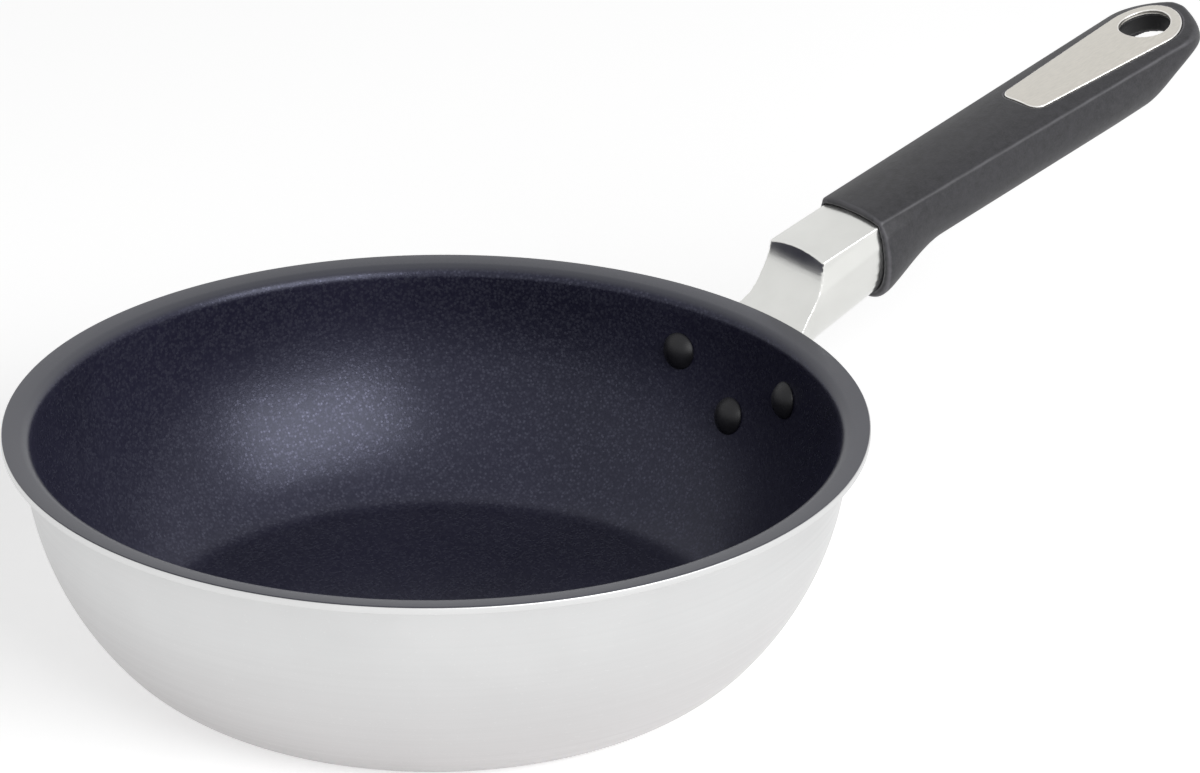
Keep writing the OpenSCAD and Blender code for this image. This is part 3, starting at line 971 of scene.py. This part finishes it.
def screw_rooms():
    """Wells up to the washers and holes from there up to the tang."""
    bearing_z = tang_z - tang_h / 2 - fit_gap - web_t
    rooms = []
    for x in (collar_x + screw_front_x, collar_x + screw_front_x + screw_pitch):
        rooms.append(prism(circle(x, 0, washer_d / 2 + fit_gap, 48), through_low, bearing_z))
        rooms.append(prism(circle(x, 0, screw_d / 2 + screw_room, 48), bearing_z - over, tang_z))
    return rooms


def lug_rooms():
    """Holes for the two lugs under the plate."""
    low = crown - plate_t - lug_h - press_gap
    centres = (hole_x - plate_l + lug_inset, hole_x - hole_d / 2 - lug_inset + lug_d / 2)
    return [prism(circle(x, 0, lug_d / 2 + press_gap, 48), low, crown) for x in centres]


def hanging_rooms():
    """The hanging hole and the wider hollow below it."""
    return [prism(circle(hole_x, 0, hole_d / 2), through_low, through_high),
            prism(circle(hole_x, 0, hollow_d / 2), through_low, -hollow_z)]


def plate_room():
    """A pocket with the plate's outline and a floor as crowned as the plate."""
    nose_x = hole_x - plate_l + plate_nose_r
    nose_y = plate_w / 2 - plate_nose_r
    g = fit_gap / 2
    outline = convex_outline(circle(nose_x, nose_y, plate_nose_r + g, 64)
                             + circle(nose_x, -nose_y, plate_nose_r + g, 64)
                             + circle(hole_x - plate_back, 0, plate_r + g, 160))
    ridge = crown + plate_proud - plate_t - g
    below = []
    for i in range(2 * top_steps + 1):
        y = tail_r * cos(90 * i / top_steps)
        below.append((y, ridge - plate_crown_r + math.sqrt(plate_crown_r ** 2 - y * y)))
    below += [(-tail_r, -guard_depth), (tail_r, -guard_depth)]
    pocket = prism(outline, -crown, 3 * crown)
    cut(pocket, [crosswise([(x, below) for x in (collar_x, hole_x + 2 * tail_l)])])
    return pocket


grip = loft_grip()
cut(grip, [neck_room(), tang_room()] + hanging_rooms() + screw_rooms() + lug_rooms() + [plate_room()])
soften(grip, voxel=0.36, passes=4)
finished(grip, phenolic(), "handle_grip")


# The inlay plate

plate_steel = satin_steel("inlay_steel", dark=(0.575, 0.555, 0.51), light=(0.645, 0.62, 0.57), rough=0.38)
plate = copy_node("inlay_plate", "inlay_plate_soft")
soften(plate, voxel=0.22, passes=9)
finished(plate, plate_steel, "inlay_plate")


# The rivets and the screws with their washers

def dome(d, h, seat_z, side, steps=12):
    """Section of a low dome with a rounded rim, from its seat's edge to its top on the axis."""
    r = (d * d / 4 + (h - dome_edge) ** 2) / (2 * (h - dome_edge))
    start = math.degrees(math.asin(d / 2 / r))
    points = [(d / 2 - dome_bevel, seat_z), (d / 2, seat_z + side * dome_edge / 2)]
    for i in range(steps + 1):
        a = start * (1 - i / steps)
        points.append((r * sin(a), seat_z + side * (h - r + r * cos(a))))
    return points


def make_rivet(name):
    """A rivet through the wall: domed head inside, flatter tail outside, a plain shank between."""
    seat = wall + coat + head_gap
    outer = 2 * flange_gap + flange_t
    head = dome(rivet_head_d, rivet_head_h, -seat, -1)[::-1]
    tail = dome(tail_head_d, tail_head_h, outer, 1)
    profile = head + [(rivet_d / 2, -seat), (rivet_d / 2, outer)] + tail
    return lathe(name + "_fine", profile, segments=64, place=RIVETS[name])


rivet_coat = riveted()
for name in RIVETS:
    finished(make_rivet(name), rivet_coat, name)

screw_steel = satin_steel("screw_steel", dark=(0.55, 0.55, 0.55), light=(0.64, 0.64, 0.64), rough=0.3)
for name in ("screw_front", "screw_rear", "washer_front", "washer_rear"):
    mesh = NODES[name].data
    mesh.materials.clear()
    mesh.materials.append(screw_steel)


# Floor, world and lamp: the floor in millimetres, the lamp in metres and watts

floor_half = 4000
floor_drop = 0.2
floor_lift = 0.54
sky_light = 0.3
sky_seen = 1.0
key_azimuth = 42
key_elevation = 34
key_distance = 2.2
key_width = 1.9
key_height = 1.2
key_power = 37
key_target = Vector((0, 0, 0.05))


def seen_directly(tree):
    """1 for rays from the camera and for those that a mirror or glass sends on, 0 for the rest."""
    path = tree.nodes.new("ShaderNodeLightPath")
    total = path.outputs["Is Camera Ray"]
    for name in ("Is Glossy Ray", "Is Transmission Ray"):
        node = tree.nodes.new("ShaderNodeMath")
        node.operation = "MAXIMUM"
        tree.links.new(total, node.inputs[0])
        tree.links.new(path.outputs[name], node.inputs[1])
        total = node.outputs[0]
    return total


def stage_material():
    """Pale floor that keeps the shadow; seen directly it is lifted to white."""
    n = Nodes("floor_white")
    n.set(Base_Color=(0.8, 0.8, 0.8), Roughness=0.9, Specular_IOR_Level=0.0)
    plain = n.shader.outputs[0]
    glow = n.add("ShaderNodeEmission", {"Color": (1, 1, 1), "Strength": floor_lift}).outputs[0]
    lifted = n.add("ShaderNodeAddShader", {0: plain, 1: glow}).outputs[0]
    pick = n.add("ShaderNodeMixShader", {0: seen_directly(n.tree), 1: plain, 2: lifted})
    n.tree.links.new(pick.outputs[0], n.tree.nodes["Material Output"].inputs[0])
    return n.material


def make_floor():
    corners = [(-floor_half, -floor_half, 0), (floor_half, -floor_half, 0),
               (floor_half, floor_half, 0), (-floor_half, floor_half, 0)]
    floor = new_object("floor", skin([corners]))
    floor.data.materials.append(stage_material())
    floor.location.z = -floor_drop * MM


def make_world():
    """An even white room: plain light on the object, white where it is seen directly."""
    world = bpy.data.worlds.new("studio")
    bpy.context.scene.world = world
    world.use_nodes = True
    tree = world.node_tree
    sky = tree.nodes["Background"]
    sky.inputs["Color"].default_value = (1, 1, 1, 1)
    level = tree.nodes.new("ShaderNodeMapRange")
    level.inputs["To Min"].default_value = sky_light
    level.inputs["To Max"].default_value = sky_seen
    tree.links.new(seen_directly(tree), level.inputs["Value"])
    tree.links.new(level.outputs["Result"], sky.inputs["Strength"])


def make_key():
    """One large soft lamp; azimuth 0 is towards the camera, 90 to its right."""
    light = bpy.data.lights.new("key", "AREA")
    light.shape = "RECTANGLE"
    light.size = key_width
    light.size_y = key_height
    light.energy = key_power
    a = key_azimuth - 90 - handle_direction
    reach = key_distance * cos(key_elevation)
    place = Vector((reach * cos(a), reach * sin(a), key_distance * sin(key_elevation)))
    lamp = bpy.data.objects.new("key", light)
    bpy.context.scene.collection.objects.link(lamp)
    lamp.location = place
    lamp.rotation_euler = (key_target - place).to_track_quat("-Z", "Y").to_euler()


make_floor()
make_world()
make_key()
